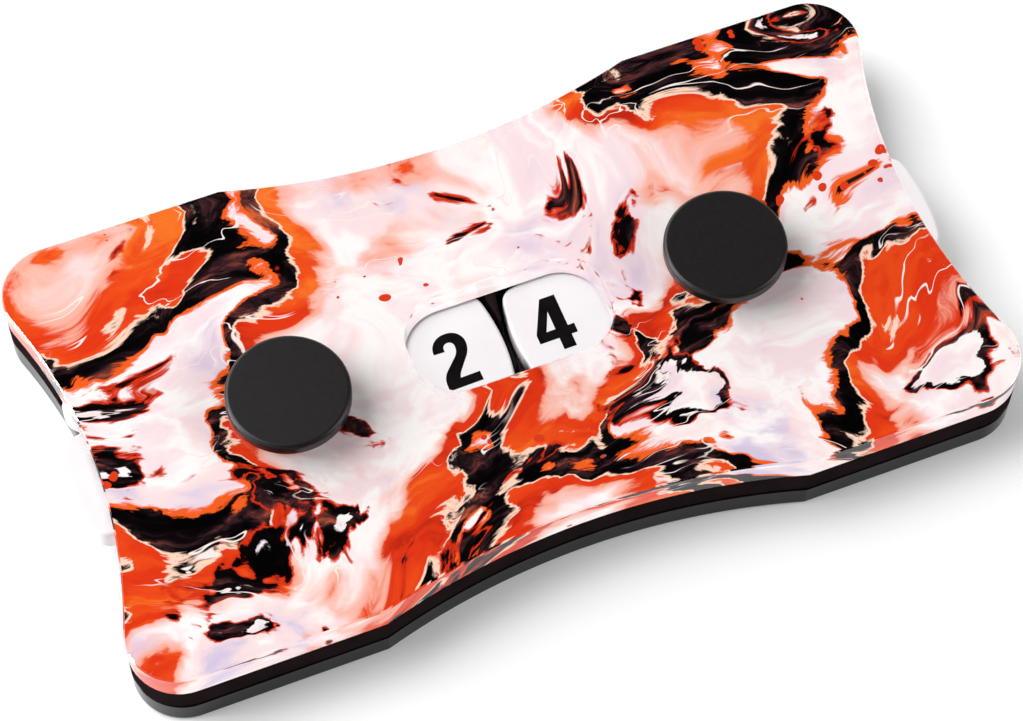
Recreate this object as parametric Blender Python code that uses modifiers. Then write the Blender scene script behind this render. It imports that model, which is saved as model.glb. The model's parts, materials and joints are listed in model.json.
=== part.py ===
"""Pocket life counter for card games: two number wheels in a stack of thin sheets.

The frame's origin is on the table under the middle of the counter. +X runs along
its length, from the left wheel to the right one, +Y points to the tops of the
digits, and +Z is up. Lengths are in metres.
"""

import math

import bmesh
import bpy
from mathutils import Vector

# Stack of sheets, from the table up
SHEET = 0.0029                 # base plate and middle layer
BOND = 0.0001                  # glue line between two layers
FILM = 0.0001                  # printed film under the faceplate
FACE_SHEET = 0.0028            # clear faceplate

# Outline that every layer shares
PLATE_WIDTH = 0.0472
CORNER_RADIUS = 0.005
END_DIP = 0.00307              # how far each short side curves in
SIDE_DIP = 0.00305             # how far each long side curves in
SIDE_DIP_LENGTH = 0.042        # from kink to kink

# Wheels in the middle layer
RAIL_WALL = 0.0015             # middle layer left beside a wheel
WHEEL_CLEARANCE = 0.0005       # round a wheel
WHEEL_PLAY = 0.00025           # above and below a wheel
THUMB_REACH = 0.0026           # how far a wheel stands out of a short side
SPACER_TIP = 0.0002            # width of the middle layer's tip between the wheels
LOBES = 10
NOTCH_WIDTH = 0.00345          # between two lobes at the rim, before their corners are rounded
NOTCH_ROOT = 0.0006            # radius at the bottom of a notch
LOBE_FLARE = math.radians(15)  # how far a lobe's flanks spread towards the axis
LOBE_CORNER = 0.0016
LEFT_TURN = math.radians(1.4)  # the wheels as the photograph shows them
RIGHT_TURN = math.radians(0.5)

# Digits sunk into the wheels
DIGIT_HEIGHT = 0.0059
DIGIT_DEPTH = 0.00015
LEFT_DIGIT_RADIUS = 0.0165     # from the wheel's axis to a digit's middle
RIGHT_DIGIT_RADIUS = 0.0176
LEFT_DIGIT_DROP = 0.00063      # the left wheel's digits sit low on their lobes
RIGHT_DIGIT_RISE = 0.00021     # and the right wheel's a little high
LEFT_SHOWN = 2
RIGHT_SHOWN = 4

# Window in the faceplate and the film
WINDOW_LENGTH = 0.02
WINDOW_WIDTH = 0.01035
WINDOW_CORNER = 0.0044

# Pivots: a headed post from above and a countersunk screw from below
POST_RADIUS = 0.0025
POST_PLAY = 0.0002             # round the post, in the wheel and the sheets above
HEAD_RADIUS = 0.00595
HEAD_HEIGHT = 0.00135
HEAD_FILLET = 0.0004
POST_BORE_RADIUS = 0.00165
POST_BORE_ROOF = 0.001         # post left above its bore
SCREW_RADIUS = 0.0015
SCREW_HEAD_RADIUS = 0.003
SCREW_HEAD_RIM = 0.0002
SCREW_SINK = 0.0002            # how far the screw's head lies inside the base
SCREW_PLAY = 0.00025           # round the screw, in the base
SCREW_TIP_GAP = 0.0005         # bore left past the screw's end
SLOT_WIDTH = 0.0008
SLOT_DEPTH = 0.0009

# Making
OVERRUN = 0.001                # how far a cutter runs past the face it cuts
MERGE = 0.000001
ARC_STEP = math.radians(6)     # one facet of a long arc
BEND_STEP = math.radians(18)   # one facet of a small round corner
DIGIT_STEP = math.radians(23)  # one facet of a digit's curves
TURN_STEPS = 48
SMOOTH_ANGLE = math.radians(35)

# Sizes that follow from the ones above
HALF_WIDTH = PLATE_WIDTH / 2
WHEEL_RADIUS = HALF_WIDTH - RAIL_WALL - WHEEL_CLEARANCE
POCKET_RADIUS = WHEEL_RADIUS + WHEEL_CLEARANCE
PIVOT_X = POCKET_RADIUS
MIDDLE_HALF_LENGTH = PIVOT_X + WHEEL_RADIUS - THUMB_REACH
HALF_LENGTH = MIDDLE_HALF_LENGTH + END_DIP
SPACER_LOW = SHEET + BOND
FILM_LOW = SPACER_LOW + SHEET + BOND
FACE_LOW = FILM_LOW + FILM + BOND
FACE_TOP = FACE_LOW + FACE_SHEET
WHEEL_LOW = SHEET + WHEEL_PLAY
WHEEL_THICKNESS = FILM_LOW - WHEEL_PLAY - WHEEL_LOW
LOBE_PITCH = math.tau / LOBES
LOBE_WIDTH = 2 * WHEEL_RADIUS * math.sin(LOBE_PITCH / 2) - NOTCH_WIDTH

# Digits as rounded polygons: x, y and corner radius as shares of the digit's height.
# The first loop is the outside, and any others are the holes in it.
STEM_SHARE = 0.58
ROUND_SHARE = 0.27
COUNTER_SHARE = 0.09
SIX_SHARES = [
    [(0, 0, ROUND_SHARE), (STEM_SHARE, 0, ROUND_SHARE), (STEM_SHARE, 0.61, 0.22),
     (0.2, 0.61, 0.04), (0.195, 0.84, COUNTER_SHARE), (0.385, 0.84, COUNTER_SHARE),
     (0.385, 0.7, 0), (STEM_SHARE, 0.7, 0), (STEM_SHARE, 1, ROUND_SHARE),
     (0, 1, ROUND_SHARE)],
    [(0.195, 0.155, COUNTER_SHARE), (0.385, 0.155, COUNTER_SHARE),
     (0.385, 0.455, COUNTER_SHARE), (0.195, 0.455, COUNTER_SHARE)],
]
DIGIT_SHARES = {
    0: [
        [(0, 0, ROUND_SHARE), (STEM_SHARE, 0, ROUND_SHARE),
         (STEM_SHARE, 1, ROUND_SHARE), (0, 1, ROUND_SHARE)],
        [(0.19, 0.16, COUNTER_SHARE), (0.39, 0.16, COUNTER_SHARE),
         (0.39, 0.84, COUNTER_SHARE), (0.19, 0.84, COUNTER_SHARE)],
    ],
    1: [
        [(0.19, 0, 0), (0.39, 0, 0), (0.39, 1, 0), (0.24, 1, 0), (0.04, 0.86, 0),
         (0.04, 0.68, 0), (0.19, 0.77, 0)],
    ],
    2: [
        [(0, 0.035, 0), (0.05, 0, 0), (STEM_SHARE, 0, 0), (STEM_SHARE, 0.165, 0),
         (0.25, 0.165, 0), (0.275, 0.24, 0.3), (0.57, 0.61, 0.4), (0.57, 1, 0.25),
         (0, 1, 0.28), (0, 0.705, 0), (0.185, 0.695, 0), (0.19, 0.833, COUNTER_SHARE),
         (0.375, 0.833, COUNTER_SHARE), (0.375, 0.62, 0.25), (0, 0.26, 0.35)],
    ],
    3: [
        [(0, 0, ROUND_SHARE), (STEM_SHARE, 0, ROUND_SHARE), (STEM_SHARE, 0.5, 0.04),
         (0.53, 0.52, 0), (STEM_SHARE, 0.545, 0.04), (STEM_SHARE, 1, ROUND_SHARE),
         (0, 1, ROUND_SHARE), (0, 0.68, 0), (0.19, 0.68, 0),
         (0.19, 0.84, COUNTER_SHARE), (0.385, 0.84, COUNTER_SHARE), (0.385, 0.6, 0.07),
         (0.24, 0.6, 0), (0.24, 0.435, 0), (0.385, 0.435, 0.07),
         (0.385, 0.16, COUNTER_SHARE), (0.19, 0.16, COUNTER_SHARE), (0.19, 0.32, 0),
         (0, 0.32, 0)],
    ],
    4: [
        [(0, 0.223, 0), (0.33, 0.223, 0), (0.33, 0, 0), (0.545, 0, 0),
         (0.545, 0.225, 0), (0.655, 0.225, 0), (0.655, 0.395, 0), (0.545, 0.395, 0),
         (0.545, 1, 0), (0.285, 1, 0), (0, 0.392, 0)],
        [(0.173, 0.395, 0), (0.33, 0.395, 0), (0.33, 0.745, 0)],
    ],
    5: [
        [(0, 0, ROUND_SHARE), (STEM_SHARE, 0, ROUND_SHARE), (STEM_SHARE, 0.64, 0.22),
         (0.215, 0.64, 0), (0.225, 0.83, 0), (0.55, 0.83, 0), (0.55, 1, 0),
         (0.045, 1, 0), (0.02, 0.43, 0), (0.19, 0.43, 0), (0.2, 0.49, 0.02),
         (0.385, 0.49, COUNTER_SHARE), (0.385, 0.16, COUNTER_SHARE),
         (0.19, 0.16, COUNTER_SHARE), (0.19, 0.32, 0), (0, 0.32, 0)],
    ],
    6: SIX_SHARES,
    7: [
        [(0.11, 0, 0), (0.32, 0, 0), (STEM_SHARE, 0.86, 0), (STEM_SHARE, 1, 0),
         (0, 1, 0), (0, 0.825, 0), (0.365, 0.825, 0)],
    ],
    8: [
        [(0, 0, ROUND_SHARE), (STEM_SHARE, 0, ROUND_SHARE), (STEM_SHARE, 0.5, 0.04),
         (0.53, 0.52, 0), (STEM_SHARE, 0.545, 0.04), (STEM_SHARE, 1, ROUND_SHARE),
         (0, 1, ROUND_SHARE), (0, 0.545, 0.04), (0.05, 0.52, 0), (0, 0.5, 0.04)],
        [(0.195, 0.155, COUNTER_SHARE), (0.385, 0.155, COUNTER_SHARE),
         (0.385, 0.44, COUNTER_SHARE), (0.195, 0.44, COUNTER_SHARE)],
        [(0.195, 0.6, COUNTER_SHARE), (0.385, 0.6, COUNTER_SHARE),
         (0.385, 0.845, COUNTER_SHARE), (0.195, 0.845, COUNTER_SHARE)],
    ],
    9: [[(STEM_SHARE - x, 1 - y, r) for x, y, r in loop] for loop in SIX_SHARES],
}


def empty_scene():
    """Remove what the open file holds."""
    for obj in list(bpy.data.objects):
        bpy.data.objects.remove(obj)


def new_collection(name):
    collection = bpy.data.collections.new(name)
    bpy.context.scene.collection.children.link(collection)
    return collection


def new_material(name, colour, roughness, alpha=1.0, transmission=0.0):
    material = bpy.data.materials.new(name)
    material.use_nodes = True
    shader = material.node_tree.nodes["Principled BSDF"]
    shader.inputs["Base Color"].default_value = (*colour, 1.0)
    shader.inputs["Roughness"].default_value = roughness
    shader.inputs["Metallic"].default_value = 0.0
    shader.inputs["Alpha"].default_value = alpha
    shader.inputs["Transmission Weight"].default_value = transmission
    material.diffuse_color = (*colour, alpha)
    return material


def arc(centre, radius, start, end, step):
    """Points along an arc, both ends included."""
    count = max(1, math.ceil(abs(end - start) / step))
    angles = [start + (end - start) * i / count for i in range(count + 1)]
    return [(centre[0] + radius * math.cos(a), centre[1] + radius * math.sin(a)) for a in angles]


def without_repeats(points):
    """The closed loop without points that fall on the one before them."""
    kept = []
    for point in points:
        if not kept or math.dist(point, kept[-1]) > MERGE:
            kept.append(point)
    if math.dist(kept[0], kept[-1]) <= MERGE:
        kept.pop()
    return kept


def circle(radius, centre=(0, 0)):
    return without_repeats(arc(centre, radius, 0, math.tau, math.tau / TURN_STEPS))


def rounded_loop(corners, step):
    """A closed loop through x, y, radius corners, each rounded by its own radius."""
    points = []
    for i, (x, y, radius) in enumerate(corners):
        corner = Vector((x, y))
        if radius == 0:
            points.append((x, y))
            continue
        back = (Vector(corners[i - 1][:2]) - corner).normalized()
        ahead = (Vector(corners[(i + 1) % len(corners)][:2]) - corner).normalized()
        half = back.angle(ahead) / 2
        centre = corner + (back + ahead).normalized() * radius / math.sin(half)
        start = corner + back * radius / math.tan(half) - centre
        end = corner + ahead * radius / math.tan(half) - centre
        first = math.atan2(start.y, start.x)
        sweep = math.remainder(math.atan2(end.y, end.x) - first, math.tau)
        points += arc(centre, radius, first, first + sweep, step)
    return without_repeats(points)


class Outline:
    """The curves that bound a quarter of the plate, where x and y are positive."""

    def __init__(self):
        self.corner = (HALF_LENGTH - CORNER_RADIUS, HALF_WIDTH - CORNER_RADIUS)
        inset = MIDDLE_HALF_LENGTH - self.corner[0]
        self.end_radius = ((inset ** 2 + self.corner[1] ** 2 - CORNER_RADIUS ** 2)
                           / (2 * END_DIP))
        self.end_centre = (MIDDLE_HALF_LENGTH + self.end_radius, 0)
        self.tangent = math.atan2(self.corner[1], self.end_centre[0] - self.corner[0])
        kink = SIDE_DIP_LENGTH / 2
        self.side_radius = (kink ** 2 + SIDE_DIP ** 2) / (2 * SIDE_DIP)
        self.side_centre = (0, HALF_WIDTH - SIDE_DIP + self.side_radius)
        self.kink_angle = math.atan2(HALF_WIDTH - self.side_centre[1], kink)

    def from_end(self, start):
        """From the short side's arc at the angle start to the middle of the long side."""
        end_arc = arc(self.end_centre, self.end_radius, start, math.pi - self.tangent, ARC_STEP / 2)
        corner_arc = arc(self.corner, CORNER_RADIUS, -self.tangent, math.pi / 2, ARC_STEP * 2)
        side_arc = arc(self.side_centre, self.side_radius, self.kink_angle, -math.pi / 2, ARC_STEP / 2)
        return end_arc + corner_arc + side_arc

    def pocket_crossing(self):
        """Where a wheel's pocket runs out through the short side's arc."""
        spread = self.end_centre[0] - PIVOT_X
        x = (POCKET_RADIUS ** 2 - self.end_radius ** 2
             + self.end_centre[0] ** 2 - PIVOT_X ** 2) / (2 * spread)
        return x, math.sqrt(POCKET_RADIUS ** 2 - (x - PIVOT_X) ** 2)


def plate_loop():
    quarter = Outline().from_end(math.pi)
    half = quarter + [(-x, y) for x, y in reversed(quarter)]
    return without_repeats(half + [(-x, -y) for x, y in half])


def rail_loop(side):
    """One rail of the middle layer, along the long side at +Y or -Y."""
    outline = Outline()
    end_x, end_y = outline.pocket_crossing()
    tip_x = SPACER_TIP / 2
    tip_y = math.sqrt(max(POCKET_RADIUS ** 2 - (PIVOT_X - tip_x) ** 2, BOND ** 2))
    from_tip = math.atan2(tip_y, tip_x - PIVOT_X)
    to_end = math.atan2(end_y, end_x - PIVOT_X)
    pocket = arc((PIVOT_X, 0), POCKET_RADIUS, from_tip, to_end, ARC_STEP)
    start = math.atan2(end_y, end_x - outline.end_centre[0])
    half = pocket + outline.from_end(start)
    whole = half + [(-x, y) for x, y in reversed(half)]
    return without_repeats([(x, side * y) for x, y in whole])


def window_loop():
    x, y = WINDOW_LENGTH / 2, WINDOW_WIDTH / 2
    corners = [(x, -y), (x, y), (-x, y), (-x, -y)]
    return rounded_loop([(*corner, WINDOW_CORNER) for corner in corners], ARC_STEP * 2)


def wheel_loop():
    """Lobes with round corners, and round-bottomed notches between them."""
    flank = WHEEL_RADIUS * math.sin(LOBE_FLARE) + LOBE_WIDTH / 2 * math.cos(LOBE_FLARE)
    ring = WHEEL_RADIUS - LOBE_CORNER
    shoulder = math.asin((flank - LOBE_CORNER) / ring) - LOBE_FLARE
    corner = turned_point((ring, 0), shoulder)
    depth = (flank + NOTCH_ROOT) / math.sin(LOBE_PITCH / 2 + LOBE_FLARE)
    root = turned_point((depth, 0), LOBE_PITCH / 2)
    outward = math.pi / 2 - LOBE_FLARE
    half = arc((0, 0), WHEEL_RADIUS, 0, shoulder, ARC_STEP)
    half += arc(corner, LOBE_CORNER, shoulder, outward, BEND_STEP)
    half += arc(root, NOTCH_ROOT, outward - math.pi, LOBE_PITCH / 2 - math.pi, BEND_STEP)
    lobe = [(x, -y) for x, y in reversed(half)] + half
    points = []
    for i in range(LOBES):
        points += [turned_point(point, i * LOBE_PITCH) for point in lobe]
    return without_repeats(points)


def turned_point(point, angle):
    x, y = point
    return (x * math.cos(angle) - y * math.sin(angle), x * math.sin(angle) + y * math.cos(angle))


def digit_loops(digit, angle, centre):
    """A digit's outlines, centred at the given place and then turned about the wheel's axis."""
    loops = DIGIT_SHARES[digit]
    width = max(x for x, _, _ in loops[0])
    placed = []
    for loop in loops:
        shares = rounded_loop(loop, DIGIT_STEP)
        local = [(centre[0] + (x - width / 2) * DIGIT_HEIGHT,
                  centre[1] + (y - 1 / 2) * DIGIT_HEIGHT) for x, y in shares]
        placed.append([turned_point(point, angle) for point in local])
    return placed


def solid_from(obj, name, collection):
    """Swap an object for its evaluated mesh, with shared points welded and faces outwards."""
    bpy.context.view_layer.update()
    mesh = bpy.data.meshes.new_from_object(obj.evaluated_get(bpy.context.evaluated_depsgraph_get()))
    shape = bmesh.new()
    shape.from_mesh(mesh)
    bmesh.ops.remove_doubles(shape, verts=shape.verts, dist=MERGE)
    bmesh.ops.dissolve_degenerate(shape, dist=MERGE, edges=shape.edges)
    bmesh.ops.recalc_face_normals(shape, faces=shape.faces)
    shape.to_mesh(mesh)
    shape.free()
    mesh.materials.clear()
    place = obj.matrix_world.copy()
    bpy.data.objects.remove(obj)
    solid = bpy.data.objects.new(name, mesh)
    mesh.name = name
    solid.matrix_world = place
    collection.objects.link(solid)
    return solid


def flat_solid(name, loops, low, thickness, collection, centre=(0, 0), turn=0.0):
    """A sheet cut to the loops, the first one outside and the rest holes."""
    curve = bpy.data.curves.new(name + "_outline", "CURVE")
    curve.dimensions = "2D"
    curve.fill_mode = "BOTH"
    curve.extrude = thickness / 2
    for loop in loops:
        spline = curve.splines.new("POLY")
        spline.points.add(len(loop) - 1)
        for spot, (x, y) in zip(spline.points, loop):
            spot.co = (x, y, 0, 1)
        spline.use_cyclic_u = True
    obj = bpy.data.objects.new(name + "_outline", curve)
    obj.location = (*centre, low + thickness / 2)
    obj.rotation_euler.z = turn
    collection.objects.link(obj)
    return solid_from(obj, name, collection)


def turned_solid(name, profile, collection, centre):
    """A profile of radius, height points, outside first from the top down, turned about Z."""
    mesh = bpy.data.meshes.new(name + "_profile")
    shape = bmesh.new()
    spots = [shape.verts.new((radius, 0, height)) for radius, height in profile]
    for upper, lower in zip(spots, spots[1:]):
        shape.edges.new((upper, lower))
    shape.to_mesh(mesh)
    shape.free()
    obj = bpy.data.objects.new(name + "_profile", mesh)
    obj.location = (*centre, 0)
    collection.objects.link(obj)
    turn = obj.modifiers.new("turn", "SCREW")
    turn.axis = "Z"
    turn.steps = TURN_STEPS
    turn.render_steps = TURN_STEPS
    turn.use_merge_vertices = True
    turn.merge_threshold = MERGE
    return solid_from(obj, name, collection)


def cut(obj, cutter, collection):
    """The object again, with the cutter's shape taken out of it."""
    cutter.hide_render = True
    cutter.display_type = "WIRE"
    boolean = obj.modifiers.new("cut", "BOOLEAN")
    boolean.operation = "DIFFERENCE"
    boolean.solver = "EXACT"
    boolean.object = cutter
    return solid_from(obj, obj.name, collection)


def finish(obj, material):
    obj.data.materials.append(material)
    obj.data.shade_smooth()
    obj.data.set_sharp_from_angle(angle=SMOOTH_ANGLE)


def make_base(parts, cutters, material):
    base = flat_solid("base_plate", [plate_loop()], 0, SHEET, parts)
    rim_top = SCREW_SINK + SCREW_HEAD_RIM
    cone_top = rim_top + SCREW_HEAD_RADIUS - SCREW_RADIUS
    hole = SCREW_RADIUS + SCREW_PLAY
    mouth = SCREW_HEAD_RADIUS + SCREW_PLAY
    profile = [(0, SHEET + OVERRUN), (hole, SHEET + OVERRUN), (hole, cone_top),
               (mouth, rim_top), (mouth, -OVERRUN), (0, -OVERRUN)]
    for side, x in (("left", -PIVOT_X), ("right", PIVOT_X)):
        base = cut(base, turned_solid(side + "_countersink", profile, cutters, (x, 0)), parts)
    finish(base, material)


def make_spacers(parts, material):
    for name, side in (("front_spacer", -1), ("back_spacer", 1)):
        finish(flat_solid(name, [rail_loop(side)], SPACER_LOW, SHEET, parts), material)


def make_cover(name, low, thickness, parts, material):
    """A layer above the wheels, with the window and the two post holes."""
    hole = POST_RADIUS + POST_PLAY
    holes = [circle(hole, (-PIVOT_X, 0)), circle(hole, (PIVOT_X, 0))]
    loops = [plate_loop(), window_loop()] + holes
    finish(flat_solid(name, loops, low, thickness, parts), material)


def make_wheel(side, shown, centre_x, turn, digit_place, parts, cutters, material):
    """A number wheel. digit_place is where the shown digit stands from the wheel's axis."""
    loops = [wheel_loop(), circle(POST_RADIUS + POST_PLAY)]
    wheel = flat_solid(side + "_wheel", loops, WHEEL_LOW, WHEEL_THICKNESS, parts, (centre_x, 0), turn)
    digits = []
    for digit in DIGIT_SHARES:
        angle = (digit - shown) * LOBE_PITCH
        digits += digit_loops(digit, angle, digit_place)
    floor = WHEEL_LOW + WHEEL_THICKNESS - DIGIT_DEPTH
    cutter = flat_solid(side + "_digits", digits, floor, DIGIT_DEPTH + OVERRUN, cutters,
                        (centre_x, 0), turn)
    finish(cut(wheel, cutter, parts), material)


def make_post(side, x, parts, material):
    """A round head on a barrel, with the blind bore that the screw goes into."""
    low = SHEET + BOND
    seat = FACE_TOP + BOND
    top = seat + HEAD_HEIGHT
    bore_top = seat - POST_BORE_ROOF
    fillet = arc((HEAD_RADIUS - HEAD_FILLET, top - HEAD_FILLET), HEAD_FILLET,
                 math.pi / 2, 0, BEND_STEP)
    profile = [(0, top)] + fillet + [
        (HEAD_RADIUS, seat), (POST_RADIUS, seat), (POST_RADIUS, low),
        (POST_BORE_RADIUS, low), (POST_BORE_RADIUS, bore_top), (0, bore_top)]
    finish(turned_solid(side + "_pivot_post", profile, parts, (x, 0)), material)


def make_screw(side, x, parts, cutters, material):
    """A slotted countersunk screw, head down."""
    bore_top = FACE_TOP + BOND - POST_BORE_ROOF
    tip = bore_top - SCREW_TIP_GAP
    rim_top = SCREW_SINK + SCREW_HEAD_RIM
    cone_top = rim_top + SCREW_HEAD_RADIUS - SCREW_RADIUS
    profile = [(0, tip), (SCREW_RADIUS, tip), (SCREW_RADIUS, cone_top),
               (SCREW_HEAD_RADIUS, rim_top), (SCREW_HEAD_RADIUS, SCREW_SINK), (0, SCREW_SINK)]
    screw = turned_solid(side + "_pivot_screw", profile, parts, (x, 0))
    reach = SCREW_HEAD_RADIUS + OVERRUN
    half = SLOT_WIDTH / 2
    slot = [(-reach, -half), (reach, -half), (reach, half), (-reach, half)]
    low = SCREW_SINK - OVERRUN
    cutter = flat_solid(side + "_slot", [slot], low, OVERRUN + SLOT_DEPTH, cutters, (x, 0))
    finish(cut(screw, cutter, parts), material)


def build():
    empty_scene()
    parts = new_collection("life_counter")
    cutters = new_collection("cutters")

    black = new_material("black_acrylic", (0.012, 0.012, 0.013), 0.12)
    middle = new_material("black_middle_acrylic", (0.01, 0.01, 0.011), 0.16)
    clear = new_material("clear_acrylic", (1.0, 0.97, 0.96), 0.03, 0.35, 1.0)
    film = new_material("printed_film", (0.8, 0.25, 0.1), 0.35)
    white = new_material("white_wheel", (0.86, 0.85, 0.85), 0.3)
    cap = new_material("satin_black_post", (0.022, 0.021, 0.021), 0.38)
    nylon = new_material("black_screw", (0.018, 0.018, 0.018), 0.45)

    make_base(parts, cutters, black)
    make_spacers(parts, middle)
    make_cover("printed_film", FILM_LOW, FILM, parts, film)
    make_cover("faceplate", FACE_LOW, FACE_SHEET, parts, clear)
    left_place = (LEFT_DIGIT_RADIUS, -LEFT_DIGIT_DROP)
    right_place = (-RIGHT_DIGIT_RADIUS, RIGHT_DIGIT_RISE)
    make_wheel("left", LEFT_SHOWN, -PIVOT_X, LEFT_TURN, left_place, parts, cutters, white)
    make_wheel("right", RIGHT_SHOWN, PIVOT_X, RIGHT_TURN, right_place, parts, cutters, white)
    for side, x in (("left", -PIVOT_X), ("right", PIVOT_X)):
        make_post(side, x, parts, cap)
        make_screw(side, x, parts, cutters, nylon)


build()
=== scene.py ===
"""Looks of the pocket life counter: a clear faceplate over a marbled print, two white
number wheels, satin black post heads and polished black sheets."""

import json
import math

import bmesh
import bpy
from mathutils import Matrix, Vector
from mathutils.geometry import tessellate_polygon


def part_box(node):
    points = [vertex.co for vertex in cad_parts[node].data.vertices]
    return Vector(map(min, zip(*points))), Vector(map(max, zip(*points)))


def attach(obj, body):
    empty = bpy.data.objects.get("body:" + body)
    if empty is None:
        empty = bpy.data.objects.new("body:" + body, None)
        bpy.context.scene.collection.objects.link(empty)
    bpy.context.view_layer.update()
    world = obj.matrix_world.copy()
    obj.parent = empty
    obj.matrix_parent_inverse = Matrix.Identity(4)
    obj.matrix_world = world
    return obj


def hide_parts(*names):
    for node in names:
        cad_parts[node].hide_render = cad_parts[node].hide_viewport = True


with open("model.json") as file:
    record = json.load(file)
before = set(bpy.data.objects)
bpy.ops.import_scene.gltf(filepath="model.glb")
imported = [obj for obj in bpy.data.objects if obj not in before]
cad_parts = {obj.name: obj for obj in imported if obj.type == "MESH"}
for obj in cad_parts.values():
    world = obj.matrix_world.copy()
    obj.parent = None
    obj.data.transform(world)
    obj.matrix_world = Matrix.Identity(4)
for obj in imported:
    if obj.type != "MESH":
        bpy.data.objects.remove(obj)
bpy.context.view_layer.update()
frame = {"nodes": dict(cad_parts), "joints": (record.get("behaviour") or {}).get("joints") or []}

MM = 0.001

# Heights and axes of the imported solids
SHEET_LOW, SHEET_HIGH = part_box("base_plate")[0].z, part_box("base_plate")[1].z
RAIL_LOW, RAIL_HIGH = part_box("back_spacer")[0].z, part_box("back_spacer")[1].z
FILM_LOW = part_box("printed_film")[0].z
FACE_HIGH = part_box("faceplate")[1].z
WHEEL_LOW, WHEEL_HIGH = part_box("left_wheel")[0].z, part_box("left_wheel")[1].z
POST_LOW, POST_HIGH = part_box("left_pivot_post")[0].z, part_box("left_pivot_post")[1].z
AXIS_X = {joint["child"]: joint["pos_m"][0] for joint in frame["joints"]}
PIVOT_X = AXIS_X["right_wheel"]

# Wheels in the middle layer
WHEEL_CLEARANCE = 0.5 * MM     # round a wheel
THUMB_REACH = 2.6 * MM         # how far a wheel stands out of a short side
POCKET_RADIUS = PIVOT_X
WHEEL_RADIUS = POCKET_RADIUS - WHEEL_CLEARANCE
LOBES = 10
LOBE_PITCH = math.tau / LOBES
NOTCH_WIDTH = 3.45 * MM        # between two lobes at the rim, before their corners are rounded
LOBE_WIDTH = 2 * WHEEL_RADIUS * math.sin(LOBE_PITCH / 2) - NOTCH_WIDTH
LOBE_FLARE = math.radians(15)  # how far a lobe's flanks spread towards the axis
LOBE_CORNER = 1.6 * MM
NOTCH_ROOT = 0.6 * MM          # radius at the bottom of a notch

# Outline that every sheet shares
HALF_WIDTH = 23.6 * MM
CORNER_RADIUS = 5 * MM
END_DIP = 3.07 * MM            # how far each short side curves in
SIDE_DIP = 3.05 * MM           # how far each long side curves in
SIDE_DIP_LENGTH = 42 * MM      # from kink to kink
SPACER_TIP = 0.2 * MM          # width of the middle layer's tip between the wheels
MIDDLE_HALF_LENGTH = PIVOT_X + WHEEL_RADIUS - THUMB_REACH
HALF_LENGTH = MIDDLE_HALF_LENGTH + END_DIP
INSET = 0.03 * MM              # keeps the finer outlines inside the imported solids' box

# Window in the cover and the print
WINDOW_LENGTH = 20 * MM
WINDOW_WIDTH = 10.35 * MM
WINDOW_CORNER = 4.4 * MM

# Print under the cover. The cover's lower face lies just inside the print, as on a bonded
# print, because a film of air between them would mirror dark lines at its edges.
PRINT_THICKNESS = 0.03 * MM
PRINT_INSET = 0.004 * MM       # from the cover's edges
COVER_SINK = 0.01 * MM         # how far the cover reaches into the print

# Posts, and the holes for them and for their screws
POST_RADIUS = 2.5 * MM
POST_HOLE_RADIUS = 2.7 * MM
POST_BORE_RADIUS = 1.65 * MM
POST_BORE_ROOF = 1 * MM        # post left above its bore
HEAD_RADIUS = 5.95 * MM
HEAD_HEIGHT = 1.35 * MM
HEAD_FILLET = 0.4 * MM
HEAD_RING = 0.06 * MM          # from the fillet to a ring that keeps the flat top's shading flat
HEAD_CHAMFER = 0.1 * MM        # round the lower edge
SCREW_HOLE_RADIUS = 1.75 * MM
SCREW_MOUTH_RADIUS = 3.25 * MM
SINK_LOW = 0.4 * MM            # heights between which the screw's hole narrows
SINK_HIGH = 1.9 * MM

# Digits, and how the photograph shows each wheel: its turn, the digit in the window, and
# that digit's place from the axis before the turn
DIGIT_HEIGHT = 5.9 * MM
WHEEL_DROP = 0.01 * MM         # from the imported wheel's face down to the white face here
INK_DROP = 0.001 * MM          # and down to the ink's face, so that the ink stands just proud
INK_DEPTH = 0.1 * MM           # and down to its lower end
WHEELS = {
    "left": (math.radians(1.4), 2, (16.5 * MM, -0.63 * MM)),
    "right": (math.radians(0.5), 4, (-17.6 * MM, 0.21 * MM)),
}

# Chamfers of the sheets, and the wheels' round edges
FACE_EDGE = 0.15 * MM
SHEET_EDGE = 0.2 * MM
RAIL_EDGE = 0.2 * MM
WHEEL_EDGE = 0.27 * MM

# Marbling, in centimetres
PRINT_PATCH = (-150, -80, 0)   # which part of the endless pattern shows

# Making
LONG_STEP = math.radians(1)    # one facet of the outline's long arcs
WHEEL_STEP = math.radians(2)   # of a wheel's rim and its pocket
ROUND_STEP = math.radians(4)   # of a corner or a hole
SMALL_STEP = math.radians(9)   # of a small fillet and of a digit's curves
RIM_STEPS = 4                  # facets across a round edge
TURN_STEPS = 120               # facets round a turned piece
MERGE = 2e-6                   # points of an outline nearer than this fall together
AXIS_MERGE = 1e-7              # and a turned piece's points on its axis
MITRE = 0.35                   # holds back the offset of a very sharp corner
SHARP = math.radians(9)        # an outline's corner that stays crisp
BEND = math.radians(35)        # a bend in a wall's profile that does
CREASE = math.radians(40)      # an edge of a turned piece that does

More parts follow.
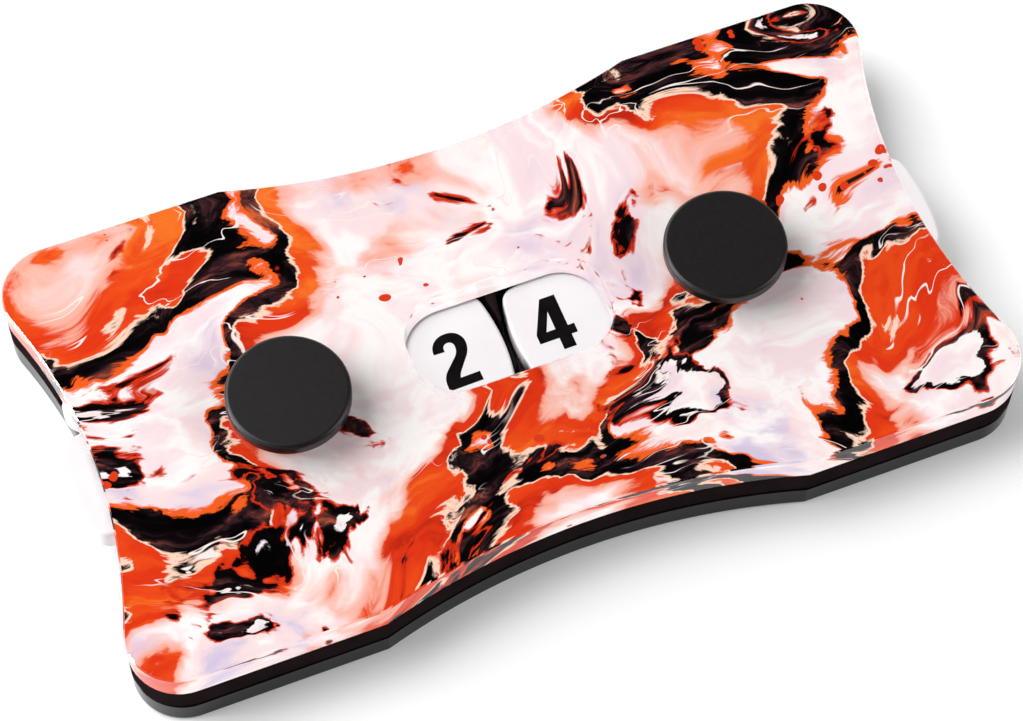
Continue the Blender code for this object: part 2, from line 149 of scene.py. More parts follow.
# Studio, in metres and watts. Each soft box faces the counter, and has its place, its
# width and height, and its power.
FLOOR_SIZE = 6.0
FLOOR_DROP = 0.2 * MM          # keeps the floor clear of the base's lower face
SOFTBOXES = {
    "key": ((-0.50, 0.32, 0.68), (0.7, 0.7), 8.2),
    "fill": ((0.60, -0.35, 0.50), (0.5, 0.5), 2.6),
    "back": ((-0.25, 0.75, 0.30), (0.6, 0.3), 1.0),
    "left_strip": ((-0.672, 0.165, 0.104), (0.35, 0.08), 2.4),
    "right_strip": ((0.62, -0.31, 0.09), (0.25, 0.05), 0.4),
}
SKY_HEIGHTS = (0.25, 0.75)     # between them the sky fades upwards
SKY_STRENGTHS = (1.6, 0.03)
SKY_SIDE = (-0.64, 0.77, 0)    # the side where the sky is bright
SKY_COSINES = (-0.5, 0.5)      # of the angle to that side, between which it brightens
SKY_SHARES = (0.06, 1.0)

# Camera, at the photograph's viewing angle
CAMERA_PLACE = (-53.883 * MM, -134.208 * MM, 277.906 * MM)
CAMERA_TURN = (27.6056, -0.4097, -21.1882)      # degrees about X, then Y, then Z
CAMERA_LENS = 113.64
CAMERA_SENSOR = 36.0
CAMERA_NEAR = 10 * MM


# Outlines

def arc(centre, radius, start, end, step):
    """Points along an arc, with both of its ends."""
    count = max(1, math.ceil(abs(end - start) / step))
    angles = [start + (end - start) * i / count for i in range(count + 1)]
    return [(centre[0] + radius * math.cos(a), centre[1] + radius * math.sin(a)) for a in angles]


def closed(points):
    """The loop without points that fall on the one before them, running anticlockwise."""
    kept = []
    for point in points:
        if not kept or math.dist(point, kept[-1]) > MERGE:
            kept.append(point)
    if math.dist(kept[0], kept[-1]) <= MERGE:
        kept.pop()
    area = sum(a[0] * b[1] - b[0] * a[1] for a, b in zip(kept, kept[1:] + kept[:1]))
    return kept if area > 0 else kept[::-1]


def circle(radius, x=0.0):
    return closed(arc((x, 0), radius, 0, math.tau, ROUND_STEP))


def spun(point, angle):
    """The point turned about the origin."""
    x, y = point
    return (x * math.cos(angle) - y * math.sin(angle), x * math.sin(angle) + y * math.cos(angle))


def rounded(corners, step):
    """A polygon of x, y and corner radius as a loop, with each corner as an arc."""
    points = []
    for i, (x, y, radius) in enumerate(corners):
        corner = Vector((x, y))
        if radius == 0:
            points.append((x, y))
            continue
        back = (Vector(corners[i - 1][:2]) - corner).normalized()
        ahead = (Vector(corners[(i + 1) % len(corners)][:2]) - corner).normalized()
        half = back.angle(ahead) / 2
        centre = corner + (back + ahead).normalized() * radius / math.sin(half)
        first = corner + back * radius / math.tan(half) - centre
        last = corner + ahead * radius / math.tan(half) - centre
        start = math.atan2(first.y, first.x)
        sweep = math.remainder(math.atan2(last.y, last.x) - start, math.tau)
        points += arc(centre, radius, start, start + sweep, step)
    return closed(points)


def end_arc():
    """Centre and radius of the arc that dips into the short side at +X."""
    inset = MIDDLE_HALF_LENGTH - HALF_LENGTH + CORNER_RADIUS
    radius = (inset ** 2 + (HALF_WIDTH - CORNER_RADIUS) ** 2 - CORNER_RADIUS ** 2) / (2 * END_DIP)
    return MIDDLE_HALF_LENGTH + radius, radius


def quarter(start):
    """The sheets' outline where x and y are positive, from the short side to the long one."""
    end_x, end_radius = end_arc()
    corner = (HALF_LENGTH - CORNER_RADIUS, HALF_WIDTH - CORNER_RADIUS)
    tangent = math.atan2(corner[1], end_x - corner[0])
    kink = SIDE_DIP_LENGTH / 2
    side_radius = (kink ** 2 + SIDE_DIP ** 2) / (2 * SIDE_DIP)
    side_y = HALF_WIDTH - SIDE_DIP + side_radius
    kink_angle = math.atan2(HALF_WIDTH - side_y, kink)
    return (arc((end_x, 0), end_radius, start, math.pi - tangent, LONG_STEP)
            + arc(corner, CORNER_RADIUS, -tangent, math.pi / 2, ROUND_STEP)
            + arc((0, side_y), side_radius, kink_angle, -math.pi / 2, LONG_STEP))


def mirrored(points):
    """The points, and then the same points on the other side of the Y axis, backwards."""
    return points + [(-x, y) for x, y in reversed(points)]


def sheet_loop():
    """The outline that every sheet shares."""
    half = mirrored(quarter(math.pi))
    return closed(half + [(-x, -y) for x, y in half])


def rail_loop(side):
    """One rail of the middle layer, between the two wheel pockets and a long side."""
    end_x, end_radius = end_arc()
    spread = end_x - PIVOT_X
    x = (POCKET_RADIUS ** 2 - end_radius ** 2 + end_x ** 2 - PIVOT_X ** 2) / (2 * spread)
    y = math.sqrt(POCKET_RADIUS ** 2 - (x - PIVOT_X) ** 2)
    tip_x = SPACER_TIP / 2
    tip_y = math.sqrt(POCKET_RADIUS ** 2 - (PIVOT_X - tip_x) ** 2)
    pocket = arc((PIVOT_X, 0), POCKET_RADIUS, math.atan2(tip_y, tip_x - PIVOT_X),
                 math.atan2(y, x - PIVOT_X), WHEEL_STEP)
    half = pocket + quarter(math.atan2(y, x - end_x))
    return closed([(x, side * y) for x, y in mirrored(half)])


def window_loop():
    x, y = WINDOW_LENGTH / 2, WINDOW_WIDTH / 2
    corners = [(x, -y), (x, y), (-x, y), (-x, -y)]
    return rounded([(*corner, WINDOW_CORNER) for corner in corners], ROUND_STEP)


def wheel_loop(turn):
    """Half a lobe and half a notch, mirrored to a lobe and repeated round the wheel."""
    flank = WHEEL_RADIUS * math.sin(LOBE_FLARE) + LOBE_WIDTH / 2 * math.cos(LOBE_FLARE)
    ring = WHEEL_RADIUS - LOBE_CORNER
    shoulder = math.asin((flank - LOBE_CORNER) / ring) - LOBE_FLARE
    depth = (flank + NOTCH_ROOT) / math.sin(LOBE_PITCH / 2 + LOBE_FLARE)
    outward = math.pi / 2 - LOBE_FLARE
    half = arc((0, 0), WHEEL_RADIUS, 0, shoulder, WHEEL_STEP)
    half += arc(spun((ring, 0), shoulder), LOBE_CORNER, shoulder, outward, SMALL_STEP)
    half += arc(spun((depth, 0), LOBE_PITCH / 2), NOTCH_ROOT, outward - math.pi,
                LOBE_PITCH / 2 - math.pi, SMALL_STEP)
    lobe = [(x, -y) for x, y in reversed(half)] + half
    return closed([spun(p, turn + i * LOBE_PITCH) for i in range(LOBES) for p in lobe])


# Digits as rounded polygons: x, y and corner radius as shares of the digit's height.
# The first loop is the outside, and any others are the holes in it.
STEM, BOWL, EYE = 0.58, 0.27, 0.09
SIX = [
    [(0, 0, BOWL), (STEM, 0, BOWL), (STEM, 0.61, 0.22), (0.2, 0.61, 0.04), (0.195, 0.84, EYE),
     (0.385, 0.84, EYE), (0.385, 0.7, 0), (STEM, 0.7, 0), (STEM, 1, BOWL), (0, 1, BOWL)],
    [(0.195, 0.155, EYE), (0.385, 0.155, EYE), (0.385, 0.455, EYE), (0.195, 0.455, EYE)],
]
DIGITS = {
    0: [[(0, 0, BOWL), (STEM, 0, BOWL), (STEM, 1, BOWL), (0, 1, BOWL)],
        [(0.19, 0.16, EYE), (0.39, 0.16, EYE), (0.39, 0.84, EYE), (0.19, 0.84, EYE)]],
    1: [[(0.19, 0, 0), (0.39, 0, 0), (0.39, 1, 0), (0.24, 1, 0), (0.04, 0.86, 0),
         (0.04, 0.68, 0), (0.19, 0.77, 0)]],
    2: [[(0, 0.035, 0), (0.05, 0, 0), (STEM, 0, 0), (STEM, 0.165, 0), (0.25, 0.165, 0),
         (0.275, 0.24, 0.3), (0.57, 0.61, 0.4), (0.57, 1, 0.25), (0, 1, 0.28), (0, 0.705, 0),
         (0.185, 0.695, 0), (0.19, 0.833, EYE), (0.375, 0.833, EYE), (0.375, 0.62, 0.25),
         (0, 0.26, 0.35)]],
    3: [[(0, 0, BOWL), (STEM, 0, BOWL), (STEM, 0.5, 0.04), (0.53, 0.52, 0), (STEM, 0.545, 0.04),
         (STEM, 1, BOWL), (0, 1, BOWL), (0, 0.68, 0), (0.19, 0.68, 0), (0.19, 0.84, EYE),
         (0.385, 0.84, EYE), (0.385, 0.6, 0.07), (0.24, 0.6, 0), (0.24, 0.435, 0),
         (0.385, 0.435, 0.07), (0.385, 0.16, EYE), (0.19, 0.16, EYE), (0.19, 0.32, 0),
         (0, 0.32, 0)]],
    4: [[(0, 0.223, 0), (0.33, 0.223, 0), (0.33, 0, 0), (0.545, 0, 0), (0.545, 0.225, 0),
         (0.655, 0.225, 0), (0.655, 0.395, 0), (0.545, 0.395, 0), (0.545, 1, 0),
         (0.285, 1, 0), (0, 0.392, 0)],
        [(0.173, 0.395, 0), (0.33, 0.395, 0), (0.33, 0.745, 0)]],
    5: [[(0, 0, BOWL), (STEM, 0, BOWL), (STEM, 0.64, 0.22), (0.215, 0.64, 0), (0.225, 0.83, 0),
         (0.55, 0.83, 0), (0.55, 1, 0), (0.045, 1, 0), (0.02, 0.43, 0), (0.19, 0.43, 0),
         (0.2, 0.49, 0.02), (0.385, 0.49, EYE), (0.385, 0.16, EYE), (0.19, 0.16, EYE),
         (0.19, 0.32, 0), (0, 0.32, 0)]],
    6: SIX,
    7: [[(0.11, 0, 0), (0.32, 0, 0), (STEM, 0.86, 0), (STEM, 1, 0), (0, 1, 0),
         (0, 0.825, 0), (0.365, 0.825, 0)]],
    8: [[(0, 0, BOWL), (STEM, 0, BOWL), (STEM, 0.5, 0.04), (0.53, 0.52, 0), (STEM, 0.545, 0.04),
         (STEM, 1, BOWL), (0, 1, BOWL), (0, 0.545, 0.04), (0.05, 0.52, 0), (0, 0.5, 0.04)],
        [(0.195, 0.155, EYE), (0.385, 0.155, EYE), (0.385, 0.44, EYE), (0.195, 0.44, EYE)],
        [(0.195, 0.6, EYE), (0.385, 0.6, EYE), (0.385, 0.845, EYE), (0.195, 0.845, EYE)]],
    9: [[(STEM - x, 1 - y, r) for x, y, r in loop] for loop in SIX],
}


def digit_loops(digit, angle, centre):
    """A digit with its middle at the centre, and all of it turned about the wheel's axis."""
    width = max(x for x, _, _ in DIGITS[digit][0])
    loops = []
    for loop in DIGITS[digit]:
        local = [(centre[0] + (x - width / 2) * DIGIT_HEIGHT,
                  centre[1] + (y - 1 / 2) * DIGIT_HEIGHT) for x, y in rounded(loop, SMALL_STEP)]
        loops.append([spun(point, angle) for point in local])
    return loops


# Solids

def outset(loop, distance):
    """The loop moved to its right-hand side, which is away from the material."""
    moved = []
    for i, point in enumerate(loop):
        here = Vector(point)
        a = (here - Vector(loop[i - 1])).normalized()
        b = (Vector(loop[(i + 1) % len(loop)]) - here).normalized()
        side = Vector((a.y + b.y, -a.x - b.x)).normalized()
        moved.append(tuple(here + side * distance / max(side.dot(Vector((b.y, -b.x))), MITRE)))
    return moved


def turning(loop, i):
    """How far the loop turns at a point."""
    a = Vector(loop[i]) - Vector(loop[i - 1])
    b = Vector(loop[(i + 1) % len(loop)]) - Vector(loop[i])
    return abs(a.angle(b))


def bend(levels, i):
    """How far a wall's profile bends at a level."""
    before, here, after = (Vector(levels[k]) for k in (i - 1, i, i + 1))
    return abs((here - before).angle(after - here))


def soft_rim(low, high, edge, steps):
    """A wall's profile from the bottom to the top, both edges rounded, or cut off in one step."""
    levels = []
    for i in range(steps + 1):
        angle = math.pi / 2 * i / steps
        levels.append((-edge * (1 - math.sin(angle)), low + edge * (1 - math.cos(angle))))
    return levels + [(out, low + high - z) for out, z in reversed(levels)]


def piece_from(shape, name):
    """A new object with the mesh, smooth apart from the edges that are marked sharp."""
    bmesh.ops.recalc_face_normals(shape, faces=shape.faces)
    mesh = bpy.data.meshes.new(name)
    shape.to_mesh(mesh)
    shape.free()
    piece = bpy.data.objects.new(name, mesh)
    bpy.context.scene.collection.objects.link(piece)
    mesh.polygons.foreach_set("use_smooth", [True] * len(mesh.polygons))
    return piece


def sheet(name, rims, x=0.0):
    """A flat piece. rims holds each loop with its wall's profile, the outside first."""
    shape = bmesh.new()
    bottoms, tops = [], []

    # Walls, with the holes' loops the other way round
    for number, (loop, levels) in enumerate(rims):
        loop = loop if number == 0 else loop[::-1]
        rings = [[shape.verts.new((px + x, py, z)) for px, py in outset(loop, out)]
                 for out, z in levels]
        crisp = [rings[i] for i in range(1, len(levels) - 1) if bend(levels, i) > BEND]
        for lower, upper in zip(rings, rings[1:]):
            for i in range(len(loop)):
                shape.faces.new((lower[i - 1], lower[i], upper[i], upper[i - 1]))
                if turning(loop, i) > SHARP:
                    shape.edges.get((lower[i], upper[i])).smooth = False
        for ring in crisp + [rings[0], rings[-1]]:
            for i in range(len(ring)):
                shape.edges.get((ring[i - 1], ring[i])).smooth = False
        bottoms.append(rings[0])
        tops.append(rings[-1])

    # Lower and upper face
    for rings in (bottoms, tops):
        spots = [vert for ring in rings for vert in ring]
        for corners in tessellate_polygon([[vert.co for vert in ring] for ring in rings]):
            shape.faces.new([spots[i] for i in corners])
    return piece_from(shape, name)


def joined(name, pieces):
    """Several sheets as one mesh."""
    shape = bmesh.new()
    for piece in pieces:
        shape.from_mesh(piece.data)
        bpy.data.objects.remove(piece)
    return piece_from(shape, name)


def turned(name, profile, x):
    """A profile of radius and height turned about the upright axis at x."""
    shape = bmesh.new()
    spots = [shape.verts.new((radius, 0, z)) for radius, z in profile]
    edges = [shape.edges.new(pair) for pair in zip(spots, spots[1:])]
    bmesh.ops.spin(shape, geom=spots + edges, cent=(0, 0, 0), axis=(0, 0, 1), angle=math.tau,
                   steps=TURN_STEPS, use_merge=True)
    bmesh.ops.remove_doubles(shape, verts=shape.verts, dist=AXIS_MERGE)
    bmesh.ops.translate(shape, verts=shape.verts, vec=(x, 0, 0))
    piece = piece_from(shape, name)
    piece.data.set_sharp_from_angle(angle=CREASE)
    return piece


# Material nodes

def srgb(red, green, blue):
    """A colour as a screen shows it, from 0 to 255, in the linear values that nodes use."""
    def linear(value):
        value /= 255
        return value / 12.92 if value <= 0.04045 else ((value + 0.055) / 1.055) ** 2.4
    return tuple(linear(value) for value in (red, green, blue))


def opaque(value):
    """A plain colour with full alpha. A socket or a single number stays as it is."""
    return (*value, 1.0) if isinstance(value, tuple) else value


def node(tree, kind, inputs=(), **settings):
    """A new shader node. inputs holds a socket to link or a plain value for each input."""
    made = tree.nodes.new("ShaderNode" + kind)
    for key, value in settings.items():
        setattr(made, key, value)
    for key, value in dict(inputs).items():
        if isinstance(value, bpy.types.NodeSocket):
            tree.links.new(value, made.inputs[key])
        else:
            made.inputs[key].default_value = value
    return made


def map_range(tree, value, source, target, ease="LINEAR"):
    """The value read over the source range and given over the target, held at both ends."""
    return node(tree, "MapRange", {
        "Value": value, "From Min": source[0], "From Max": source[1],
        "To Min": target[0], "To Max": target[1]}, interpolation_type=ease).outputs[0]


class Look:
    """One procedural material and short ways to add its nodes."""

    PER_METRE = 100.0          # at is the place on the piece in centimetres

    def __init__(self, name, **plain):
        self.material = bpy.data.materials.new(name)
        self.material.use_nodes = True
        self.tree = self.material.node_tree
        self.shader = self.tree.nodes["Principled BSDF"]
        for key, value in plain.items():
            self.shader.inputs[key.replace("_", " ")].default_value = opaque(value)
        metres = node(self.tree, "TexCoord").outputs["Object"]
        self.at = self.vector("SCALE", {0: metres, "Scale": self.PER_METRE})

    def vector(self, operation, inputs):
        return node(self.tree, "VectorMath", inputs, operation=operation).outputs[0]

    def math(self, operation, a, b=0.0):
        return node(self.tree, "Math", {0: a, 1: b}, operation=operation).outputs[0]

    def shift(self, place, amount):
        return self.vector("ADD", {0: place, 1: amount})

    def warp(self, place, colour, strength):
        """The place moved by a colour's departure from grey."""
        push = self.vector("SUBTRACT", {0: colour, 1: (0.5, 0.5, 0.5)})
        return self.shift(place, self.vector("SCALE", {0: push, "Scale": strength}))

    def stretch(self, place, scale, turn=0.0):
        return node(self.tree, "Mapping", {"Vector": place, "Rotation": (0, 0, turn),
                                           "Scale": scale}).outputs[0]

    def noise(self, place, scale, detail=4.0, roughness=0.5, out="Fac"):
        return node(self.tree, "TexNoise", {"Vector": place, "Scale": scale, "Detail": detail,
                                            "Roughness": roughness}).outputs[out]

    def cells(self, place, scale):
        return node(self.tree, "TexVoronoi", {"Vector": place, "Scale": scale}).outputs["Distance"]

    def between(self, value, low, high, to_low=0.0, to_high=1.0):
        """The value read between low and high, with a soft start and end."""
        return map_range(self.tree, value, (low, high), (to_low, to_high), "SMOOTHSTEP")

    def ramp(self, value, stops, ease="LINEAR"):
        """The colour at the value, from stops that each hold a value and its colour."""
        made = node(self.tree, "ValToRGB", {"Fac": value})
        made.color_ramp.interpolation = ease
        elements = made.color_ramp.elements
        for element, (value_there, colour) in zip(elements, (stops[0], stops[-1])):
            element.position = value_there
            element.color = opaque(colour)
        for value_there, colour in stops[1:-1]:
            elements.new(value_there).color = opaque(colour)
        return made.outputs["Color"]

    def mix(self, share, a, b, blend="MIX"):
        """Colour a with this share of colour b over it."""
        return node(self.tree, "Mix", {0: share, 6: opaque(a), 7: opaque(b)},
                    data_type="RGBA", blend_type=blend).outputs[2]

    def set(self, key, socket):
        self.tree.links.new(socket, self.shader.inputs[key])

    def bump(self, height, distance, strength):
        self.set("Normal", node(self.tree, "Bump", {
            "Height": height, "Distance": distance, "Strength": strength}).outputs[0])


# Materials

def print_look():
    """Poured-ink marbling: pale clouds, orange and black streams with thin pale lacing."""
    look = Look("marbled_print", Roughness=0.4, Specular_IOR_Level=0.0)

    # Places that two slow noises push about, and the same places drawn out into brush strokes
    at = look.shift(look.at, PRINT_PATCH)
    flow = look.warp(at, look.noise(at, 0.30, 2.0, 0.5, "Color"), 3.6)
    curl = look.noise(look.shift(flow, (9.2, 1.3, 0)), 0.8, 3.0, 0.55, "Color")
    flow = look.warp(flow, curl, 1.2)
    brush = look.stretch(flow, (0.5, 2.0, 1.0), math.radians(24))

    # Pale clouds with a white veil
    cloud = look.ramp(look.noise(look.shift(flow, (1.7, 2.2, 0)), 0.7, 5.0, 0.55), [
        (0.30, srgb(226, 206, 226)), (0.42, srgb(250, 226, 230)), (0.50, srgb(255, 250, 248)),
        (0.58, srgb(252, 226, 226)), (0.70, srgb(214, 200, 226))], "EASE")
    veil = look.between(look.noise(look.shift(brush, (4.1, 0, 0)), 1.3, 6.0, 0.6), 0.50, 0.70)
    cloud = look.mix(veil, cloud, srgb(255, 252, 250))

    # Orange and black paint
    heat = look.ramp(look.noise(look.shift(brush, (6.0, 3.0, 0)), 0.8, 6.0, 0.6), [
        (0.32, srgb(190, 40, 18)), (0.42, srgb(226, 56, 22)), (0.52, srgb(236, 76, 26)),
        (0.62, srgb(246, 116, 40)), (0.72, srgb(252, 186, 128))], "EASE")
    char = look.ramp(look.noise(brush, 2.2, 5.0, 0.65), [
        (0.42, srgb(2, 1, 2)), (0.51, srgb(14, 8, 10)), (0.58, srgb(56, 32, 36)),
        (0.64, srgb(118, 56, 46)), (0.72, srgb(206, 96, 58))])

    # Depth of the broad streams and of the smaller pools, both with frayed edges
    fray = look.math("SUBTRACT", look.noise(brush, 2.4, 7.0, 0.68), 0.5)
    pour = look.noise(look.shift(flow, (12.2, 5.5, 0)), 0.36, 3.0, 0.5)
    pour = look.math("ADD", pour, look.math("MULTIPLY", fray, 0.085))
    pool = look.noise(look.shift(flow, (2.4, 11.0, 0)), 0.6, 4.0, 0.55)
    pool = look.math("ADD", pool, look.math("MULTIPLY", fray, 0.14))

    # Each layer starts at its first depth and covers what is under it from its second
    picture = cloud
    for depth, start, full, colour in (
            (pour, 0.450, 0.500, srgb(250, 172, 150)),
            (pour, 0.493, 0.507, heat),
            (pour, 0.548, 0.552, srgb(255, 214, 190)),
            (pour, 0.556, 0.562, char),
            (pour, 0.602, 0.606, srgb(244, 96, 34)),
            (pour, 0.612, 0.620, cloud),
            (pool, 0.585, 0.600, srgb(214, 52, 22)),
            (pool, 0.602, 0.610, char),
            (pool, 0.650, 0.656, cloud)):
        picture = look.mix(look.between(depth, start, full), picture, colour)

    # Thin pale lacing that comes and goes
    lace = look.noise(look.stretch(flow, (0.6, 2.4, 1.0), math.radians(-35)), 1.1, 2.5, 0.5)
    lace = look.math("ABSOLUTE", look.math("SUBTRACT", lace, 0.57))
    lace = look.between(lace, 0.003, 0.008, 1.0, 0.0)
    fade = look.between(look.noise(look.shift(at, (3, 1, 0)), 1.1, 2.0), 0.47, 0.56)
    picture = look.mix(look.math("MULTIPLY", lace, fade), picture, srgb(252, 236, 232))

    # Red flecks
    fleck = look.cells(look.warp(at, curl, 0.5), 4.2)
    size = look.between(look.noise(look.shift(at, (8, 8, 0)), 0.9, 3.0), 0.52, 0.68, 0.0, 0.24)
    picture = look.mix(look.math("LESS_THAN", fleck, size), picture, srgb(222, 62, 28))

    # The whole print is darkened a little, as painted shade that tones down the light it catches
    # under the clear cover
    look.set("Base Color", look.mix(1.0, picture, (0.9, 0.89, 0.89), "MULTIPLY"))
    return look.material


def clear_look():
    """Clear cast acrylic, very slightly uneven."""
    look = Look("clear_acrylic", Base_Color=(1.0, 1.0, 1.0), Roughness=0.0, IOR=1.49,
                Transmission_Weight=1.0)
    look.bump(look.noise(look.at, 1.1, 2.0), 0.02 * MM, 0.15)
    return look.material


def sheet_look(name, colour, roughness, specular):
    """Black cast acrylic, with faint cutting marks and smears."""
    look = Look(name, IOR=1.3, Specular_IOR_Level=specular)
    smear = look.noise(look.at, 2.2, 5.0, 0.6)
    lighter = tuple(value * 1.35 + 0.001 for value in colour)
    look.set("Base Color", look.mix(look.between(smear, 0.3, 0.7), colour, lighter))
    look.set("Roughness", look.between(smear, 0.3, 0.7, roughness * 0.75, roughness * 1.35))
    marks = look.noise(look.stretch(look.at, (30, 30, 0.6)), 3.0, 4.0, 0.6)
    look.bump(marks, 0.01 * MM, 0.35)
    return look.material


def wheel_look():
    """White cast acrylic with a little dust."""
    look = Look("white_acrylic", IOR=1.49, Specular_IOR_Level=0.4)
    soft = look.noise(look.at, 1.6, 4.0, 0.55)
    dust = look.between(look.noise(look.at, 46.0, 2.0, 0.6), 0.66, 0.74)
    tone = look.mix(look.between(soft, 0.35, 0.65), srgb(238, 233, 235), srgb(234, 228, 231))
    look.set("Base Color", look.mix(look.math("MULTIPLY", dust, 0.25), tone, srgb(214, 208, 210)))
    look.set("Roughness", look.between(soft, 0.3, 0.7, 0.28, 0.42))
    look.bump(look.noise(look.at, 30.0, 3.0), 0.004 * MM, 0.4)
    return look.material


def ink_look():
    """Matt black ink, a little uneven."""
    look = Look("digit_ink", Specular_IOR_Level=0.05)
    body = look.noise(look.at, 9.0, 4.0, 0.6)
    look.set("Base Color", look.mix(look.between(body, 0.35, 0.7), srgb(10, 8, 8), srgb(16, 13, 13)))
    look.set("Roughness", look.between(body, 0.3, 0.7, 0.38, 0.55))
    return look.material


def head_look():
    """Moulded satin plastic with a fine spark-eroded grain."""
    look = Look("satin_black", Specular_IOR_Level=0.42)
    rub = look.noise(look.at, 22.0, 5.0, 0.6)
    look.set("Base Color", look.mix(look.between(rub, 0.3, 0.7), srgb(20, 17, 17), srgb(24, 20, 21)))
    look.set("Roughness", look.between(rub, 0.3, 0.7, 0.34, 0.37))
    look.bump(look.noise(look.at, 38.0, 4.0, 0.6), 0.01 * MM, 0.5)
    return look.material


def floor_look():
    """Pale matt paper. Its faint glow lightens the counter's shadow."""
    look = Look("paper_white", Roughness=0.9, Specular_IOR_Level=0.1,
                Emission_Color=(1.0, 1.0, 1.0), Emission_Strength=0.13)
    look.set("Base Color", look.mix(look.noise(look.at, 0.02, 2.0),
                                    (0.92, 0.92, 0.92), (0.94, 0.94, 0.94)))
    return look.material


# Pieces

def wear(piece, look, body, slot, *nodes):
    """Gives a piece its material, the body it rides on and the nodes it stands for."""
    piece.data.materials.append(look)
    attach(piece, body)
    if nodes:
        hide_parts(*nodes)


def make_base(outline):
    """The lowest sheet, with a countersunk hole under each post."""
    mouth = SCREW_HOLE_RADIUS - SCREW_MOUTH_RADIUS
    sink = [(mouth, SHEET_LOW), (mouth, SINK_LOW), (0, SINK_HIGH), (0, SHEET_HIGH)]
    rims = [(outline, soft_rim(SHEET_LOW, SHEET_HIGH, SHEET_EDGE, 1))]
    rims += [(circle(SCREW_HOLE_RADIUS, x), sink) for x in (-PIVOT_X, PIVOT_X)]
    black = sheet_look("black_acrylic", srgb(6, 5, 6), 0.16, 0.30)
    wear(sheet("base_sheet", rims), black, "case", "black_sheet", "base_plate")


def make_rails():
    """The front and the back rail of the middle layer."""
    black = sheet_look("black_middle_acrylic", srgb(30, 22, 23), 0.35, 0.0)
    for place, side in (("front", -1), ("back", 1)):
        rim = soft_rim(RAIL_LOW, RAIL_HIGH, RAIL_EDGE, 1)
        rail = sheet(place + "_rail", [(outset(rail_loop(side), -INSET), rim)])
        wear(rail, black, "case", "black_middle", place + "_spacer")


def make_print(outline, window, post_holes):
    """The print, a hair inside the cover's edges."""
    wall = [(0, FILM_LOW), (0, FILM_LOW + PRINT_THICKNESS)]
    loops = [outset(outline, -PRINT_INSET), outset(window, PRINT_INSET)] + post_holes
    film = sheet("print_layer", [(loop, wall) for loop in loops])
    wear(film, print_look(), "case", "print", "printed_film")


def make_cover(outline, window, post_holes):
    """The clear faceplate. It throws no shadow, because it lets nearly all light through."""
    wall = [(0, FILM_LOW + PRINT_THICKNESS - COVER_SINK), (0, FACE_HIGH - FACE_EDGE),
            (-FACE_EDGE, FACE_HIGH)]
    cover = sheet("clear_cover", [(loop, wall) for loop in [outline, window] + post_holes])
    wear(cover, clear_look(), "case", "clear_sheet", "faceplate")
    cover.visible_shadow = False
    cover.visible_diffuse = False


def make_post(side, x, satin):
    """A headed post with a bore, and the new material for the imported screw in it."""
    flat = HEAD_RADIUS - HEAD_FILLET
    seat = POST_HIGH - HEAD_HEIGHT
    roof = seat - POST_BORE_ROOF
    profile = [(0, POST_HIGH), (HEAD_RADIUS / 2, POST_HIGH), (flat - HEAD_RING, POST_HIGH)]
    profile += arc((flat, POST_HIGH - HEAD_FILLET), HEAD_FILLET, math.pi / 2, 0, SMALL_STEP)
    profile += [(HEAD_RADIUS, seat + HEAD_CHAMFER), (HEAD_RADIUS - HEAD_CHAMFER, seat),
                (POST_RADIUS, seat), (POST_RADIUS, POST_LOW),
                (POST_BORE_RADIUS, POST_LOW), (POST_BORE_RADIUS, roof), (0, roof)]
    wear(turned(side + "_post", profile, x), satin, "case", "satin_black", side + "_pivot_post")
    screw = frame["nodes"][side + "_pivot_screw"]
    screw.data.materials.clear()
    screw.data.materials.append(satin)


def make_wheel(side, white, ink):
    """A lobed wheel and the ink of its ten digits."""
    body = side + "_wheel"
    turn, shown, place = WHEELS[side]
    rim = soft_rim(WHEEL_LOW, WHEEL_HIGH - WHEEL_DROP, WHEEL_EDGE, RIM_STEPS)
    rims = [(wheel_loop(turn), rim), (circle(POST_HOLE_RADIUS), rim)]
    disc = sheet(side + "_number_wheel", rims, AXIS_X[body])
    wear(disc, white, body, "white_wheel", body)
    wall = [(0, WHEEL_HIGH - INK_DEPTH), (0, WHEEL_HIGH - INK_DROP)]
    glyphs = []
    for digit in DIGITS:
        loops = digit_loops(digit, turn + (digit - shown) * LOBE_PITCH, place)
        glyphs.append(sheet("glyph", [(loop, wall) for loop in loops], AXIS_X[body]))
    wear(joined(side + "_digits", glyphs), ink, body, "white_wheel")


# Studio

def make_floor():
    bpy.ops.mesh.primitive_plane_add(size=FLOOR_SIZE, location=(0, 0, -FLOOR_DROP))
    floor = bpy.context.object
    floor.name = "floor"
    floor.data.materials.append(floor_look())


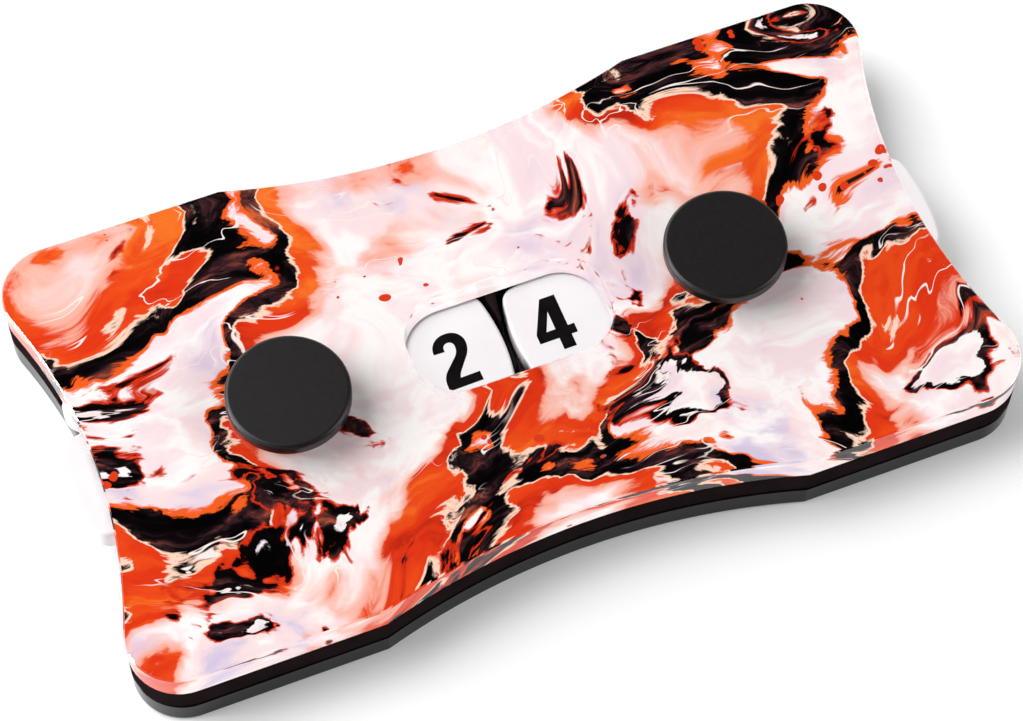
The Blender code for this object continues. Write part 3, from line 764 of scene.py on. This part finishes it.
def make_softbox(name, place, size, power):
    light = bpy.data.lights.new(name, "AREA")
    light.shape = "RECTANGLE"
    light.size, light.size_y = size
    light.energy = power
    lamp = bpy.data.objects.new(name, light)
    lamp.location = place
    lamp.rotation_euler = (-Vector(place)).to_track_quat("-Z", "Y").to_euler()
    bpy.context.scene.collection.objects.link(lamp)


def make_sky():
    """A white sky, bright low down on one side and dim overhead."""
    world = bpy.data.worlds.new("studio")
    world.use_nodes = True
    bpy.context.scene.world = world
    sky = world.node_tree
    toward = node(sky, "TexCoord").outputs["Generated"]
    height = node(sky, "SeparateXYZ", {0: toward}).outputs["Z"]
    facing = node(sky, "VectorMath", {0: toward, 1: SKY_SIDE}, operation="DOT_PRODUCT")
    low = map_range(sky, height, SKY_HEIGHTS, SKY_STRENGTHS)
    side = map_range(sky, facing.outputs["Value"], SKY_COSINES, SKY_SHARES)
    glow = node(sky, "Math", {0: low, 1: side}, operation="MULTIPLY").outputs[0]
    background = sky.nodes["Background"]
    background.inputs["Color"].default_value = opaque((1.0, 1.0, 1.0))
    sky.links.new(glow, background.inputs["Strength"])


def make_camera():
    camera = bpy.data.objects.new("camera", bpy.data.cameras.new("camera"))
    camera.data.lens = CAMERA_LENS
    camera.data.sensor_width = CAMERA_SENSOR
    camera.data.clip_start = CAMERA_NEAR
    camera.location = CAMERA_PLACE
    camera.rotation_euler = [math.radians(angle) for angle in CAMERA_TURN]
    bpy.context.scene.collection.objects.link(camera)
    bpy.context.scene.camera = camera


def make_counter():
    outline = outset(sheet_loop(), -INSET)
    window = window_loop()
    post_holes = [circle(POST_HOLE_RADIUS, -PIVOT_X), circle(POST_HOLE_RADIUS, PIVOT_X)]
    make_base(outline)
    make_rails()
    make_print(outline, window, post_holes)
    make_cover(outline, window, post_holes)
    satin = head_look()
    make_post("left", -PIVOT_X, satin)
    make_post("right", PIVOT_X, satin)
    white, ink = wheel_look(), ink_look()
    for side in WHEELS:
        make_wheel(side, white, ink)


def make_studio():
    make_floor()
    for name, (place, size, power) in SOFTBOXES.items():
        make_softbox(name, place, size, power)
    make_sky()
    make_camera()
    bpy.context.scene.view_settings.view_transform = "Standard"


make_counter()
make_studio()
